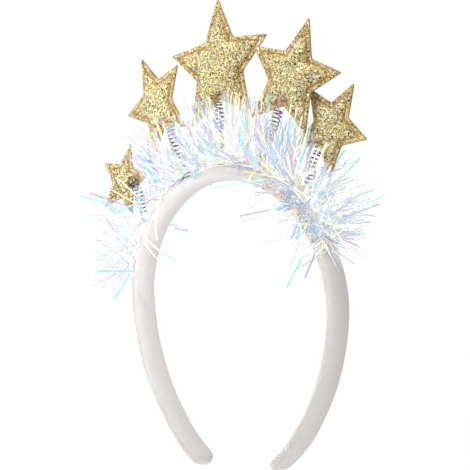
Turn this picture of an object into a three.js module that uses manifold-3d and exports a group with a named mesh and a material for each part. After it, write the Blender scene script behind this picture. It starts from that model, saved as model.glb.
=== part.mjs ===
// Star headband: a padded fabric hoop that carries a tinsel garland and five padded stars on coil springs.
// Millimetres, +Z up, the wearer looks along -Y. The origin is on the inner face of the crown, where the
// hoop sits on the head.

import * as THREE from 'three';
import { mergeVertices } from 'three/addons/utils/BufferGeometryUtils.js';
import Module from 'manifold-3d';

const wasm = await Module();
wasm.setup();

// Clearance that every piece keeps from its neighbours
const GAP = 0.3;

// Hoop: two arcs on each side of the apex, measured on the centreline of the padded section
const BAND_WIDTH = 14.0;
const BAND_THICKNESS = 7.0;
const BAND_SQUARENESS = 2.5;
const CROWN_RADIUS = 65;
const CROWN_SWEEP = THREE.MathUtils.degToRad(96.6);
const LEG_RADIUS = 97;
const LEG_SWEEP = THREE.MathUtils.degToRad(51.1);
const RIGHT_LEG_SHORTER = 5.9;
const TIP_LENGTH = 5.6;
const BAND_SIDES = 14;
const BAND_STEP = 9.2;
const TIP_STEPS = [0.5, 0.8, 0.95];

// Stars: a flat welded rim round a puffed middle
const STAR_POINTS = 5;
const CROTCH_SHARE = 0.49;
const TIP_BLUNT = 0.035;
const TIP_BLUNT_ANGLE = 0.021;
const RIM_WIDTH = 2.2;
const RIM_HALF = 0.7;
const PUFF_SHARE = 0.105;
const PUFF_SECTIONS = [
  { share: 0.0, rise: 0.0 },
  { share: 0.24, rise: 0.68 },
  { share: 0.58, rise: 0.96 },
];

// One row for each star: where its spring stands on the crown, the place of its middle, its pose, which is
// how far it turns to the right, leans back and rolls clockwise seen from the front, in degrees, its tip
// radius, and the seat of the spring's top end, from the star's lowest crotch: on the front of the first
// star, and under the rim of the others
const STARS = [
  { stand: -60.0, at: [-85.6, 7.0, -6.3], pose: [-6.2, 8.3, -66.1], radius: 18.2, seat: [4.5, -3.5, 0] },
  { stand: -31.0, at: [-56.8, 2.0, 33.3], pose: [-9.5, 1.6, -33.3], radius: 25.4, seat: [2.5, 0, -3.1] },
  { stand: -10.0, at: [-16.0, 4.0, 53.6], pose: [-0.7, 10.1, -12.0], radius: 32.6, seat: [-1, 0, -1.85] },
  { stand: 12.3, at: [33.5, 2.0, 50.4], pose: [4.3, 11.5, 11.1], radius: 28.4, seat: [-2.6, 0, -2.75] },
  { stand: 36.5, at: [57.6, 2.8, 28.3], pose: [-1.0, 9.0, 28.7], radius: 23.4, seat: [0.3, 0, -1.9] },
];

// Springs: open coils with one closed turn at each end
const COIL_RADIUS = 2.1;
const WIRE_RADIUS = 0.3;
const WIRE_SIDES = 4;
const COIL_PITCH = 2.0;
const CLOSED_PITCH = 0.95;
const COIL_STEPS = 8;
const SPRING_Y = 1.0;

// Tinsel: a core in front of the springs, with film strips standing out round it
const CORE_RADIUS = 1.2;
const CORE_SIDES = 6;
const CORE_STEP = 5.5;
const CORE_Y = -3.4;
const CORE_START = THREE.MathUtils.degToRad(-80);
const CORE_END = THREE.MathUtils.degToRad(61);
const STRIP_COUNT = 144;
const STRIP_WIDTH = 1.5;
const STRIP_THICKNESS = 0.6;
const STRIP_LENGTHS = { least: 17, most: 28 };
const STRIP_FAN = THREE.MathUtils.degToRad(122);
const STRIP_SLANT = THREE.MathUtils.degToRad(34);

// Share of a cycle by which each strip moves on from the one before, so that no two neighbours look alike
const STRIP_RHYTHM = { fan: 0.618, slant: 0.276, length: 0.377 };

// Room kept for each spring when the strips are placed
const SLEEVE_SIDES = 8;
const SLEEVE_STEPS = 8;

const LOOKS = {
  band: { color: 0xf2f0ec, roughness: 0.85, metalness: 0 },
  star: { color: 0xc9a24a, roughness: 0.45, metalness: 0.35 },
  spring: { color: 0xc8c8cc, roughness: 0.25, metalness: 1 },
  tinsel: { color: 0xe6e6f4, roughness: 0.2, metalness: 0.1 },
};

const crownLength = CROWN_RADIUS * CROWN_SWEEP;
const leftLength = crownLength + LEG_RADIUS * LEG_SWEEP;
const rightLength = leftLength - RIGHT_LEG_SHORTER;

// Place on the hoop's centreline at a signed distance from the apex: X runs along it and Z points outward
function hoopFrame(distance) {
  const along = Math.abs(distance);
  const side = distance < 0 ? -1 : 1;
  const inCrown = along <= crownLength;
  const angle = inCrown ? along / CROWN_RADIUS : CROWN_SWEEP + (along - crownLength) / LEG_RADIUS;
  const radius = inCrown ? CROWN_RADIUS : LEG_RADIUS;
  const shift = CROWN_RADIUS - radius;
  const x = shift * Math.sin(CROWN_SWEEP) + radius * Math.sin(angle);
  const z = shift * Math.cos(CROWN_SWEEP) + radius * Math.cos(angle) - CROWN_RADIUS + BAND_THICKNESS / 2;
  const frame = new THREE.Matrix4().makeRotationY(side * angle);
  return frame.setPosition(side * x, 0, z);
}

// Closed skin through rings of equal count, each counter-clockwise seen from the far end, with a point at
// both ends
function loft(start, rings, end) {
  const count = rings[0].length;
  const points = [start, ...rings.flat(), end];
  const last = points.length - 1;
  const faces = [];
  for (let j = 0; j < count; j += 1) {
    const k = (j + 1) % count;
    faces.push(0, 1 + k, 1 + j);
    for (let i = 0; i < rings.length - 1; i += 1) {
      const a = 1 + i * count;
      const b = a + count;
      faces.push(a + j, a + k, b + k, a + j, b + k, b + j);
    }
    faces.push(last, last - count + j, last - count + k);
  }
  const geometry = new THREE.BufferGeometry().setFromPoints(points);
  geometry.setIndex(faces);
  return geometry;
}

// Rounded section of the hoop at a place along it, as a share of the full section
function bandRing(distance, share) {
  const frame = hoopFrame(distance);
  const ring = [];
  for (let i = 0; i < BAND_SIDES; i += 1) {
    const angle = (2 * Math.PI * i) / BAND_SIDES;
    const c = Math.cos(angle);
    const s = Math.sin(angle);
    const y = Math.sign(c) * Math.abs(c) ** (2 / BAND_SQUARENESS) * (BAND_WIDTH / 2) * share;
    const n = Math.sign(s) * Math.abs(s) ** (2 / BAND_SQUARENESS) * (BAND_THICKNESS / 2) * share;
    ring.push(new THREE.Vector3(0, y, n).applyMatrix4(frame));
  }
  return ring;
}

function bandGeometry() {
  const first = TIP_LENGTH - leftLength;
  const last = rightLength - TIP_LENGTH;
  const count = Math.round((last - first) / BAND_STEP);
  const rings = [];
  for (let i = 0; i <= count; i += 1) {
    rings.push(bandRing(first + ((last - first) * i) / count, 1));
  }
  for (const step of TIP_STEPS) {
    const share = Math.sqrt(1 - step * step);
    rings.push(bandRing(last + step * TIP_LENGTH, share));
    rings.unshift(bandRing(first - step * TIP_LENGTH, share));
  }
  const tip = (distance) => new THREE.Vector3().applyMatrix4(hoopFrame(distance));
  return loft(tip(-leftLength), rings, tip(rightLength));
}

// Star outline at a height from the middle plane, scaled about the middle so that its edges stay parallel
function starRing(radius, scale, y) {
  const ring = [];
  const place = (angle, reach) => {
    ring.push(new THREE.Vector3(Math.sin(angle) * reach * scale, y, Math.cos(angle) * reach * scale));
  };
  for (let i = STAR_POINTS; i > 0; i -= 1) {
    const tip = (2 * Math.PI * i) / STAR_POINTS;
    place(tip + TIP_BLUNT_ANGLE, radius * (1 - TIP_BLUNT));
    place(tip - TIP_BLUNT_ANGLE, radius * (1 - TIP_BLUNT));
    place(tip - Math.PI / STAR_POINTS, radius * CROTCH_SHARE);
  }
  return ring;
}

function starGeometry(radius) {
  const half = Math.PI / STAR_POINTS;
  const slope = Math.atan2(CROTCH_SHARE * Math.sin(half), 1 - CROTCH_SHARE * Math.cos(half));
  const edgeReach = radius * Math.sin(slope);
  const rimScale = 1 - RIM_WIDTH / edgeReach;
  const puff = radius * PUFF_SHARE;
  const skin = (side) => PUFF_SECTIONS.map(({ share, rise }) => (
    starRing(radius, rimScale * (1 - share), side * (RIM_HALF + puff * rise))
  ));
  const rings = [
    ...skin(1).reverse(),
    starRing(radius, 1, RIM_HALF),
    starRing(radius, 1, -RIM_HALF),
    ...skin(-1),
  ];
  const top = RIM_HALF + puff;
  return loft(new THREE.Vector3(0, top, 0), rings, new THREE.Vector3(0, -top, 0));
}

// Wire line of a coil spring wound round an axis curve
class CoilCurve extends THREE.Curve {
  constructor(axis) {
    super();
    this.axis = axis;
    this.length = axis.getLength();
    this.turns = Math.round((this.length - 2 * CLOSED_PITCH) / COIL_PITCH) + 2;
    this.arcLengthDivisions = this.turns * COIL_STEPS * 4;
  }

  getPoint(t) {
    const turn = t * this.turns;
    const openPitch = (this.length - 2 * CLOSED_PITCH) / (this.turns - 2);
    const open = Math.min(Math.max(turn - 1, 0), this.turns - 2);
    const closed = Math.min(turn, 1) + Math.max(turn - this.turns + 1, 0);
    const share = Math.min((open * openPitch + closed * CLOSED_PITCH) / this.length, 1);
    const along = this.axis.getTangentAt(share);
    const across = new THREE.Vector3(0, 1, 0).cross(along).normalize();
    const third = along.clone().cross(across);
    const angle = 2 * Math.PI * turn;
    return this.axis.getPointAt(share)
      .addScaledVector(across, COIL_RADIUS * Math.cos(angle))
      .addScaledVector(third, COIL_RADIUS * Math.sin(angle));
  }
}

function polygon(radius, sides) {
  const points = [];
  for (let i = 0; i < sides; i += 1) {
    const angle = (2 * Math.PI * i) / sides;
    points.push(new THREE.Vector2(radius * Math.cos(angle), radius * Math.sin(angle)));
  }
  return new THREE.Shape(points);
}

function tube(path, radius, sides, steps) {
  return new THREE.ExtrudeGeometry(polygon(radius, sides), { steps, extrudePath: path });
}

// Axis of a star's spring: square to the hoop at its foot and in line with the star at its top
function springAxis(star, row) {
  const stand = hoopFrame(CROWN_RADIUS * THREE.MathUtils.degToRad(row.stand));
  const foot = new THREE.Vector3(0, SPRING_Y, BAND_THICKNESS / 2 + GAP + WIRE_RADIUS).applyMatrix4(stand);
  const outward = new THREE.Vector3(0, 0, 1).transformDirection(stand);
  const crotch = new THREE.Vector3(0, 0, -row.radius * CROTCH_SHARE);
  const top = star.localToWorld(crotch.add(new THREE.Vector3(...row.seat)));
  const upward = new THREE.Vector3(0, 0, 1).transformDirection(star.matrixWorld);
  const pull = foot.distanceTo(top) / 3;
  const lower = foot.clone().addScaledVector(outward, pull);
  const upper = top.clone().addScaledVector(upward, -pull);
  return new THREE.CubicBezierCurve3(foot, lower, upper, top);
}

// Closed mesh to a solid for joining and cutting, and back
function toSolid(geometry) {
  const bare = geometry.clone();
  bare.deleteAttribute('normal');
  bare.deleteAttribute('uv');
  const merged = mergeVertices(bare, 1e-4);
  return new wasm.Manifold(new wasm.Mesh({
    numProp: 3,
    vertProperties: new Float32Array(merged.getAttribute('position').array),
    triVerts: new Uint32Array(merged.getIndex().array),
  }));
}

function toGeometry(solid) {
  const mesh = solid.getMesh();
  const geometry = new THREE.BufferGeometry();
  geometry.setAttribute('position', new THREE.BufferAttribute(new Float32Array(mesh.vertProperties), 3));
  geometry.setIndex(new THREE.BufferAttribute(new Uint32Array(mesh.triVerts), 1));
  return geometry;
}

function piece(name, geometry, look) {
  geometry.computeVertexNormals();
  const mesh = new THREE.Mesh(geometry, new THREE.MeshStandardMaterial(look));
  mesh.name = name;
  return mesh;
}

// Place on the tinsel's core at an angle from the apex
function coreFrame(angle) {
  const lift = BAND_THICKNESS / 2 + GAP + CORE_RADIUS;
  return hoopFrame(CROWN_RADIUS * angle).multiply(new THREE.Matrix4().makeTranslation(0, CORE_Y, lift));
}

class CoreCurve extends THREE.Curve {
  getPoint(t) {
    return new THREE.Vector3().applyMatrix4(coreFrame(CORE_START + (CORE_END - CORE_START) * t));
  }
}

// One film strip standing out of the core, with a margin on its sides and its free end
function stripGeometry(index, margin) {
  const spread = (index * STRIP_RHYTHM.fan) % 1;
  const sway = (index * STRIP_RHYTHM.slant) % 1;
  const size = (index * STRIP_RHYTHM.length) % 1;
  const length = STRIP_LENGTHS.least + (STRIP_LENGTHS.most - STRIP_LENGTHS.least) * size;
  const angle = CORE_START + ((CORE_END - CORE_START) * (index + 0.5)) / STRIP_COUNT;
  const frame = coreFrame(angle)
    .multiply(new THREE.Matrix4().makeRotationX(STRIP_FAN * (2 * spread - 1)))
    .multiply(new THREE.Matrix4().makeRotationY(STRIP_SLANT * (2 * sway - 1)));
  const width = STRIP_WIDTH + 2 * margin;
  const strip = new THREE.BoxGeometry(width, STRIP_THICKNESS + 2 * margin, length + margin);
  strip.translate(0, 0, (length + margin) / 2);
  return strip.applyMatrix4(frame);
}

const headband = new THREE.Group();
const band = piece('band', bandGeometry(), LOOKS.band);
headband.add(band);

let obstacles = toSolid(band.geometry);
STARS.forEach((row, index) => {
  const star = piece(`star_${index + 1}`, starGeometry(row.radius), LOOKS.star);
  star.position.set(...row.at);
  const [turn, lean, roll] = row.pose.map((degrees) => THREE.MathUtils.degToRad(degrees));
  star.rotation.set(-lean, roll, turn, 'ZXY');
  star.updateMatrixWorld();
  headband.add(star);

  const axis = springAxis(star, row);
  const coil = new CoilCurve(axis);
  const wire = tube(coil, WIRE_RADIUS, WIRE_SIDES, coil.turns * COIL_STEPS);
  headband.add(piece(`spring_${index + 1}`, wire, LOOKS.spring));

  const sleeve = tube(axis, COIL_RADIUS + WIRE_RADIUS + GAP, SLEEVE_SIDES, SLEEVE_STEPS);
  const placed = star.geometry.clone().applyMatrix4(star.matrixWorld);
  obstacles = obstacles.add(toSolid(placed)).add(toSolid(sleeve));
});

// The garland keeps the strips that miss the hoop, the springs and the stars
const coreSteps = Math.round((CROWN_RADIUS * (CORE_END - CORE_START)) / CORE_STEP);
let garland = toSolid(tube(new CoreCurve(), CORE_RADIUS, CORE_SIDES, coreSteps));
for (let index = 0; index < STRIP_COUNT; index += 1) {
  if (toSolid(stripGeometry(index, GAP)).intersect(obstacles).isEmpty()) {
    garland = garland.add(toSolid(stripGeometry(index, 0)));
  }
}
headband.add(piece('tinsel', toGeometry(garland), LOOKS.tinsel));

export default headband;
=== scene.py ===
"""Star headband: padded ribbed hoop, iridescent tinsel garland, coil springs and padded glitter stars."""

import math

import bpy
import numpy as np
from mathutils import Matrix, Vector
from mathutils.geometry import delaunay_2d_cdt


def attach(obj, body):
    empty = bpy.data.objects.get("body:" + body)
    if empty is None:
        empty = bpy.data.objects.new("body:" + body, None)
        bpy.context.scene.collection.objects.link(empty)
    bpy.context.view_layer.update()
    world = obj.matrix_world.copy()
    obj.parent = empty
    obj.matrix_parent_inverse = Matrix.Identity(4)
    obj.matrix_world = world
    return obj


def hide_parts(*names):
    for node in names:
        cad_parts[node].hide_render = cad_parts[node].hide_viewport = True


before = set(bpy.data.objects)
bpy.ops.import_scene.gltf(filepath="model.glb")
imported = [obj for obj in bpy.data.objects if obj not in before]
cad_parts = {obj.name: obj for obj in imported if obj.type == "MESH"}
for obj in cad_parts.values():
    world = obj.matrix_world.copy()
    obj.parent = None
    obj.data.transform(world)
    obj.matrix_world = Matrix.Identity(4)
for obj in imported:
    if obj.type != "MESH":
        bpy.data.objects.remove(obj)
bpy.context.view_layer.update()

MM = 0.001
DEG = math.pi / 180
SEED = 20

# Hoop, in millimetres, as in the solids
BAND_WIDTH = 14.0
BAND_THICKNESS = 7.0
BAND_SQUARENESS = 2.5
CROWN_RADIUS = 65.0
CROWN_SWEEP = 96.6 * DEG
LEG_RADIUS = 97.0
LEG_SWEEP = 51.1 * DEG
CROWN_LENGTH = CROWN_RADIUS * CROWN_SWEEP
LEFT_LENGTH = CROWN_LENGTH + LEG_RADIUS * LEG_SWEEP
RIGHT_LEG_SHORTER = 5.9
RIGHT_LENGTH = LEFT_LENGTH - RIGHT_LEG_SHORTER
TIP_LENGTH = 5.6

# Stars, as in the solids
CROTCH_SHARE = 0.49
RIM_WIDTH = 2.2
PUFF_SHARE = 0.105
RIM_HALF = 0.7
STARS = [
    dict(stand=-60.0, at=(-85.6, 7.0, -6.3), pose=(-6.2, 8.3, -66.1), radius=18.2, seat=(4.5, -3.5, 0)),
    dict(stand=-31.0, at=(-56.8, 2.0, 33.3), pose=(-9.5, 1.6, -33.3), radius=25.4, seat=(2.5, 0, -3.1)),
    dict(stand=-10.0, at=(-16.0, 4.0, 53.6), pose=(-0.7, 10.1, -12.0), radius=32.6, seat=(-1, 0, -1.85)),
    dict(stand=12.3, at=(33.5, 2.0, 50.4), pose=(4.3, 11.5, 11.1), radius=28.4, seat=(-2.6, 0, -2.75)),
    dict(stand=36.5, at=(57.6, 2.8, 28.3), pose=(-1.0, 9.0, 28.7), radius=23.4, seat=(0.3, 0, -1.9)),
]

# Springs, as in the solids
COIL_RADIUS = 2.1
WIRE_RADIUS = 0.3
COIL_PITCH = 2.0
CLOSED_PITCH = 0.95
SPRING_Y = 1.0
GAP = 0.3

# Tinsel, as in the solids: the core's ends are places in degrees from the apex
CORE_RADIUS = 1.2
CORE_Y = -3.4
CORE_START = -80
CORE_END = 61

# Camera: the picture's angle and the point in its middle, in metres; the picture's size is in pixels
CAMERA_AZIMUTH = 44 * DEG
CAMERA_ELEVATION = 6.363 * DEG
CAMERA_AIM = Vector((-0.000997, -0.000963, -0.026547))
CAMERA_DISTANCE = 1.5
CAMERA_LENS = 239.36
SENSOR_WIDTH = 36
PICTURE_SIZE = 470
CAMERA_BACK = Vector((
    math.sin(CAMERA_AZIMUTH) * math.cos(CAMERA_ELEVATION),
    -math.cos(CAMERA_AZIMUTH) * math.cos(CAMERA_ELEVATION),
    math.sin(CAMERA_ELEVATION),
))
CAMERA_RIGHT = Vector((math.cos(CAMERA_AZIMUTH), math.sin(CAMERA_AZIMUTH), 0))
CAMERA_UP = CAMERA_BACK.cross(CAMERA_RIGHT)
EYE = np.array(CAMERA_AIM + CAMERA_BACK * CAMERA_DISTANCE) / MM

ACROSS = np.array([0.0, 1.0, 0.0])
WHITE = (1, 1, 1, 1)


def hoop(distance):
    """Points, tangents and outward normals on the hoop's centreline at signed distances from the apex."""
    distance = np.asarray(distance, float)
    along = np.abs(distance)
    side = np.where(distance < 0, -1.0, 1.0)
    crown = along <= CROWN_LENGTH
    angle = np.where(crown, along / CROWN_RADIUS, CROWN_SWEEP + (along - CROWN_LENGTH) / LEG_RADIUS)
    radius = np.where(crown, CROWN_RADIUS, LEG_RADIUS)
    shift = CROWN_RADIUS - radius
    x = shift * math.sin(CROWN_SWEEP) + radius * np.sin(angle)
    z = shift * math.cos(CROWN_SWEEP) + radius * np.cos(angle) - CROWN_RADIUS + BAND_THICKNESS / 2
    zero = np.zeros_like(x)
    point = np.stack([side * x, zero, z], -1)
    tangent = np.stack([np.cos(angle), zero, -side * np.sin(angle)], -1)
    normal = np.stack([side * np.sin(angle), zero, np.cos(angle)], -1)
    return point, tangent, normal


def unit(vectors):
    """Vectors of the same directions and length 1."""
    return vectors / np.linalg.norm(vectors, axis=-1, keepdims=True)


def star_axes(row):
    """Columns are a star's own X, Y and Z in the row frame: turned, leant back and rolled."""
    t, l, o = (math.radians(angle) for angle in row["pose"])
    turn = np.array([[math.cos(t), -math.sin(t), 0], [math.sin(t), math.cos(t), 0], [0, 0, 1]])
    lean = np.array([[1, 0, 0], [0, math.cos(l), math.sin(l)], [0, -math.sin(l), math.cos(l)]])
    roll = np.array([[math.cos(o), 0, math.sin(o)], [0, 1, 0], [-math.sin(o), 0, math.cos(o)]])
    return turn @ lean @ roll


def make_piece(name, points, faces, material, smooth=True):
    """A mesh piece from arrays in millimetres, riding on the one body."""
    mesh = bpy.data.meshes.new(name)
    mesh.from_pydata((np.asarray(points) * MM).tolist(), [], [list(f) for f in faces])
    mesh.polygons.foreach_set("use_smooth", [smooth] * len(mesh.polygons))
    mesh.materials.append(material)
    mesh.update()
    piece = bpy.data.objects.new(name, mesh)
    bpy.context.collection.objects.link(piece)
    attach(piece, "root")
    return piece


def add_values(piece, name, values):
    """A number on each point of a piece, for its material."""
    attribute = piece.data.attributes.new(name, "FLOAT", "POINT")
    attribute.data.foreach_set("value", np.asarray(values, np.float32).ravel())


def add_colours(piece, name, colours):
    """A colour on each point of a piece, for its material."""
    attribute = piece.data.attributes.new(name, "FLOAT_COLOR", "POINT")
    rgba = np.concatenate([colours, np.ones((len(colours), 1))], 1)
    attribute.data.foreach_set("color", rgba.astype(np.float32).ravel())


def linear(*srgb):
    """Linear colour from 0 to 255 display values."""
    c = np.asarray(srgb, float) / 255
    return np.where(c <= 0.04045, c / 12.92, ((c + 0.055) / 1.055) ** 2.4)


def ring_faces(rings, sides):
    """Quads between rings of equal count, with a fan to a pole point at either end; the poles come last."""
    faces = []
    j = np.arange(sides)
    k = (j + 1) % sides
    for i in range(rings - 1):
        a = i * sides
        b = a + sides
        faces.extend(np.stack([a + j, a + k, b + k, b + j], 1).tolist())
    pole = rings * sides
    last = pole - sides
    faces.extend([[pole, int(b), int(a)] for a, b in zip(j, k)])
    faces.extend([[pole + 1, last + int(a), last + int(b)] for a, b in zip(j, k)])
    return faces


class Nodes:
    """A material's nodes, made and linked by short calls."""

    def __init__(self, name):
        self.material = bpy.data.materials.new(name)
        self.material.use_nodes = True
        self.tree = self.material.node_tree
        self.shader = self.tree.nodes["Principled BSDF"]

    def add(self, kind, **values):
        node = self.tree.nodes.new(kind)
        for key, value in values.items():
            setattr(node, key, value)
        return node

    def feed(self, node, inputs):
        """Put values, or links from other nodes, on a node's inputs."""
        for key, value in inputs.items():
            if hasattr(value, "node"):
                self.tree.links.new(value, node.inputs[key])
            else:
                node.inputs[key].default_value = value
        return node.outputs

    def set(self, **inputs):
        self.feed(self.shader, {key.replace("_", " "): value for key, value in inputs.items()})

    def value(self, name, output="Fac"):
        return self.add("ShaderNodeAttribute", attribute_name=name).outputs[output]

    def math(self, operation, *values):
        node = self.add("ShaderNodeMath", operation=operation)
        return self.feed(node, dict(enumerate(values)))[0]

    def vector(self, operation, *values):
        node = self.add("ShaderNodeVectorMath", operation=operation)
        return self.feed(node, dict(enumerate(values)))[0]

    def ramp(self, source, stops):
        node = self.add("ShaderNodeValToRGB")
        while len(node.color_ramp.elements) < len(stops):
            node.color_ramp.elements.new(0.5)
        for element, (place, colour) in zip(node.color_ramp.elements, stops):
            element.position = place
            element.color = (*colour, 1)
        return self.feed(node, {"Fac": source})["Color"]

    def mix(self, factor, a, b):
        return self.feed(self.add("ShaderNodeMix", data_type="RGBA"), {0: factor, 6: a, 7: b})[2]

    def noise(self, scale, detail):
        node = self.add("ShaderNodeTexNoise")
        return self.feed(node, {"Scale": scale, "Detail": detail, "Vector": self.place()})["Fac"]

    def bump(self, height, strength, distance):
        node = self.add("ShaderNodeBump")
        return self.feed(node, {"Strength": strength, "Distance": distance, "Height": height})["Normal"]

    def place(self):
        return self.add("ShaderNodeTexCoord").outputs["Object"]


# Cloth runs on an enlarged copy, where its default stiffnesses suit
SIM_SCALE = 0.02
SIM_FRAMES = 20
SIM_QUALITY = 8
SIM_BENDING = 0.2


def inflate(points, faces, held, pressure, slack, cap):
    """Swell a padded skin by cloth simulation; held points stay, and none moves further than the cap."""
    scene = bpy.context.scene
    mesh = bpy.data.meshes.new("skin")
    mesh.from_pydata((points * SIM_SCALE).tolist(), [], [list(f) for f in faces])
    skin = bpy.data.objects.new("skin", mesh)
    scene.collection.objects.link(skin)
    cloth = skin.modifiers.new("cloth", "CLOTH")
    settings = cloth.settings
    if len(held):
        skin.vertex_groups.new(name="held").add([int(i) for i in held], 1.0, "REPLACE")
        settings.vertex_group_mass = "held"
    settings.quality = SIM_QUALITY
    settings.bending_stiffness = SIM_BENDING
    settings.use_pressure = True
    settings.uniform_pressure_force = pressure
    settings.shrink_min = -slack
    settings.effector_weights.gravity = 0
    cloth.collision_settings.use_collision = False
    cloth.point_cache.frame_start = 1
    cloth.point_cache.frame_end = SIM_FRAMES
    for number in range(1, SIM_FRAMES + 1):
        scene.frame_set(number)
    swollen = skin.evaluated_get(bpy.context.evaluated_depsgraph_get()).to_mesh()
    flat = np.empty(len(points) * 3)
    swollen.vertices.foreach_get("co", flat)
    bpy.data.objects.remove(skin)
    bpy.data.meshes.remove(mesh)
    scene.frame_set(1)
    move = flat.reshape(-1, 3) / SIM_SCALE - points
    far = np.linalg.norm(move, axis=1, keepdims=True)
    return points + move * np.minimum(1, cap / np.maximum(far, 1e-9))


def subdivide(piece, levels):
    """Replace a piece's mesh by its subdivided one, with its attributes carried along."""
    modifier = piece.modifiers.new("fine", "SUBSURF")
    modifier.levels = levels
    modifier.render_levels = levels
    fine = bpy.data.meshes.new_from_object(piece.evaluated_get(bpy.context.evaluated_depsgraph_get()))
    piece.modifiers.clear()
    coarse = piece.data
    fine.name = coarse.name + "_fine"
    piece.data = fine
    bpy.data.meshes.remove(coarse)
    fine.polygons.foreach_set("use_smooth", [True] * len(fine.polygons))


# Hoop: mesh, swelling, and a fabric with cross ribs that wander a little over a fine weave, with painted
# shade darkening the rib troughs
BAND_STEP = 3.0
BAND_SIDES = 24
TIP_RINGS = 5
BAND_START_SIZE = 0.96
BAND_PRESSURE = 1.0
BAND_CAP = 0.5
BAND_LEVELS = 2
RIB_PITCH = 0.95
RIB_HEIGHT = 0.5
RIB_WANDER = 0.5
WANDER_SCALE = 420
WANDER_DETAIL = 3
WEAVE_SCALE = 2600
WEAVE_DETAIL = 2
FABRIC_BUMP = 0.25
FABRIC_DEPTH = 0.00006
PAINTED_RIB_SHADE = [
    (0.0, linear(224, 221, 218)),
    (0.5, linear(229, 226, 223)),
    (1.0, linear(232, 229, 226)),
]


def band_material():
    m = Nodes("band_fabric")
    m.set(Roughness=0.82, Sheen_Weight=0.35, Sheen_Roughness=0.4)
    wander = m.math("MULTIPLY", m.noise(WANDER_SCALE, WANDER_DETAIL), RIB_WANDER)
    phase = m.math("MULTIPLY", m.math("ADD", m.value("along"), wander), 2 * math.pi / RIB_PITCH)
    rib = m.math("SINE", phase)
    shade = m.math("MULTIPLY_ADD", rib, 0.5, 0.5)
    # Painted shade: the colour darkens in the rib troughs, following the rib's height
    m.set(Base_Color=m.ramp(shade, PAINTED_RIB_SHADE))
    weave = m.noise(WEAVE_SCALE, WEAVE_DETAIL)
    height = m.math("ADD", m.math("MULTIPLY", rib, RIB_HEIGHT), weave)
    m.set(Normal=m.bump(height, FABRIC_BUMP, FABRIC_DEPTH))
    return m.material


def superellipse(angle, half_width, half_height):
    """Point of the hoop's section, or of a like one round it, at an angle from its width."""
    c, s = np.cos(angle), np.sin(angle)
    power = 2 / BAND_SQUARENESS
    return np.sign(c) * np.abs(c) ** power * half_width, np.sign(s) * np.abs(s) ** power * half_height


def make_band():
    first = TIP_LENGTH - LEFT_LENGTH
    last = RIGHT_LENGTH - TIP_LENGTH
    count = int(round((last - first) / BAND_STEP))
    body = np.linspace(first, last, count + 1)
    step = np.sin(np.linspace(0, math.pi / 2, TIP_RINGS + 1))[1:-1]
    distance = np.concatenate([(first - step * TIP_LENGTH)[::-1], body, last + step * TIP_LENGTH])
    share = np.concatenate([np.sqrt(1 - step**2)[::-1], np.ones(count + 1), np.sqrt(1 - step**2)])
    angle = np.arange(BAND_SIDES) * 2 * math.pi / BAND_SIDES
    y, n = superellipse(angle, BAND_WIDTH / 2, BAND_THICKNESS / 2)
    point, _, normal = hoop(distance)
    size = share[:, None] * BAND_START_SIZE
    rings = point[:, None] + normal[:, None] * (n * size)[..., None]
    rings[..., 1] += y * size
    tips = hoop([-LEFT_LENGTH, RIGHT_LENGTH])[0]
    points = np.concatenate([rings.reshape(-1, 3), tips])
    faces = ring_faces(len(distance), BAND_SIDES)
    points = inflate(points, faces, [], BAND_PRESSURE, 0.0, BAND_CAP)
    piece = make_piece("band_padded", points, faces, band_material())
    along = np.concatenate([np.repeat(distance, BAND_SIDES), [-LEFT_LENGTH, RIGHT_LENGTH]])
    add_values(piece, "along", along)
    subdivide(piece, BAND_LEVELS)
    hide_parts("band")


# Star: one unit outline and one unit puff serve all five sizes
OUTLINE_POINTS = 600
OUTLINE_ROUNDING = 4
TIP_REACH = 1.03
PUFF_GRID = 161
PUFF_PASSES = 2600
PUFF_FEED = 0.001
PUFF_POWER = 0.5
PUFF_REACH = 1.02
EDGE_SLOPE = math.atan2(
    CROTCH_SHARE * math.sin(math.pi / 5), 1 - CROTCH_SHARE * math.cos(math.pi / 5)
)
EDGE_REACH = math.sin(EDGE_SLOPE)


def star_scale(x, z):
    """Scale of the unit star whose outline passes through a point of its plane."""
    angle = np.arctan2(x, z)
    sector = 2 * math.pi / 5
    folded = np.abs((angle + sector / 2) % sector - sector / 2)
    reach = np.hypot(x, z)
    return reach * np.cos(folded - (math.pi / 2 - EDGE_SLOPE)) / EDGE_REACH


def unit_outline():
    """Closed outline of the unit star with slightly blunt tips, clockwise from the top one."""
    corners = []
    for i in range(10):
        reach = TIP_REACH if i % 2 == 0 else CROTCH_SHARE
        a = math.pi * i / 5
        corners.append((reach * math.sin(a), reach * math.cos(a)))
    corners = np.array(corners)
    per = OUTLINE_POINTS // 10
    t = (np.arange(per) / per)[:, None]
    line = np.concatenate([a + (b - a) * t for a, b in zip(corners, np.roll(corners, -1, 0))])
    for _ in range(OUTLINE_ROUNDING):
        line = (np.roll(line, 1, 0) + 2 * line + np.roll(line, -1, 0)) / 4
    return line


def unit_puff():
    """Swelling of a skin held along the unit star's outline, from 0 at the edge to 1 in the middle."""
    axis = np.linspace(-PUFF_REACH, PUFF_REACH, PUFF_GRID)
    x, z = np.meshgrid(axis, axis, indexing="ij")
    inside = star_scale(x, z) < 1
    u = np.zeros_like(x)
    for _ in range(PUFF_PASSES):
        mean = (np.roll(u, 1, 0) + np.roll(u, -1, 0) + np.roll(u, 1, 1) + np.roll(u, -1, 1)) / 4
        u = np.where(inside, mean + PUFF_FEED, 0)
    return axis, (u / u.max()) ** PUFF_POWER


def sample_puff(grid, x, z):
    """Swelling at points of the unit star's plane, between the points of the grid."""
    axis, height = grid
    last = len(axis) - 1
    step = axis[1] - axis[0]
    fx, fz = (np.clip((v - axis[0]) / step, 0, last - 1e-6) for v in (x, z))
    i, j = fx.astype(int), fz.astype(int)
    a, b = fx - i, fz - j
    low = height[i, j] * (1 - b) + height[i, j + 1] * b
    high = height[i + 1, j] * (1 - b) + height[i + 1, j + 1] * b
    return low * (1 - a) + high * a
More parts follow.
